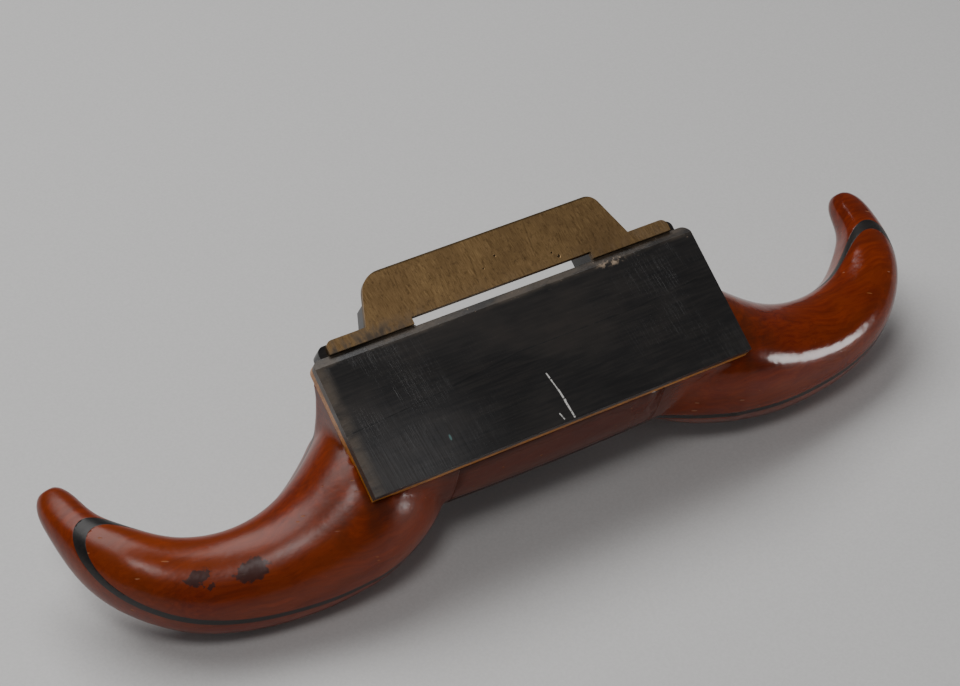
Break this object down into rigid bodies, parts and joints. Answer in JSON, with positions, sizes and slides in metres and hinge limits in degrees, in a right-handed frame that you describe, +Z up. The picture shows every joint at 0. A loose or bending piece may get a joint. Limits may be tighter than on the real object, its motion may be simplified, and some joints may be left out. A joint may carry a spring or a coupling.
{
  "type": "horned spokeshave",
  "caption": "Two-handed wooden spokeshave with curved horn grips, a flat ebony sole, a brass toe plate, and a steep blade held by a wedge.",
  "frame": {"origin": "on the bench, under the middle of the tool as it lies sole up", "axes": "+X along the tool from the left horn to the right one, +Y towards the toe, +Z up; the sole leans back 32 degrees about +X"},
  "size_m": [0.3417, 0.0771, 0.0894],
  "materials": {
    "ebony": "worn, satin",
    "boxwood": "aged, satin",
    "mahogany": "old varnish, gloss",
    "brass": "aged, scratched",
    "screw_steel": "dull",
    "blade_steel": "ground, slightly tarnished"
  },
  "bodies": {
    "body": {"ebony_sole": "ebony", "boxwood_line": "boxwood", "upper_board": "mahogany", "ebony_stripe": "ebony", "lower_board": "mahogany", "toe_block_left": "ebony", "toe_block_right": "ebony", "brass_toe_plate": "brass", "toe_plate_screws": "screw_steel", "toe_block_screws": "screw_steel"},
    "blade": {"blade": "blade_steel"},
    "wedge": {"wedge": "boxwood"}
  },
  "joints": [
    {"name": "blade_slide", "type": "slide", "parent": "body", "child": "blade", "axis": [0, 0.2079, -0.9781], "range_m": [-0.0062, 0.06]},
    {"name": "wedge_slide", "type": "slide", "parent": "body", "child": "wedge", "axis": [0, 0.2079, -0.9781], "range_m": [0, 0.06]}
  ]
}
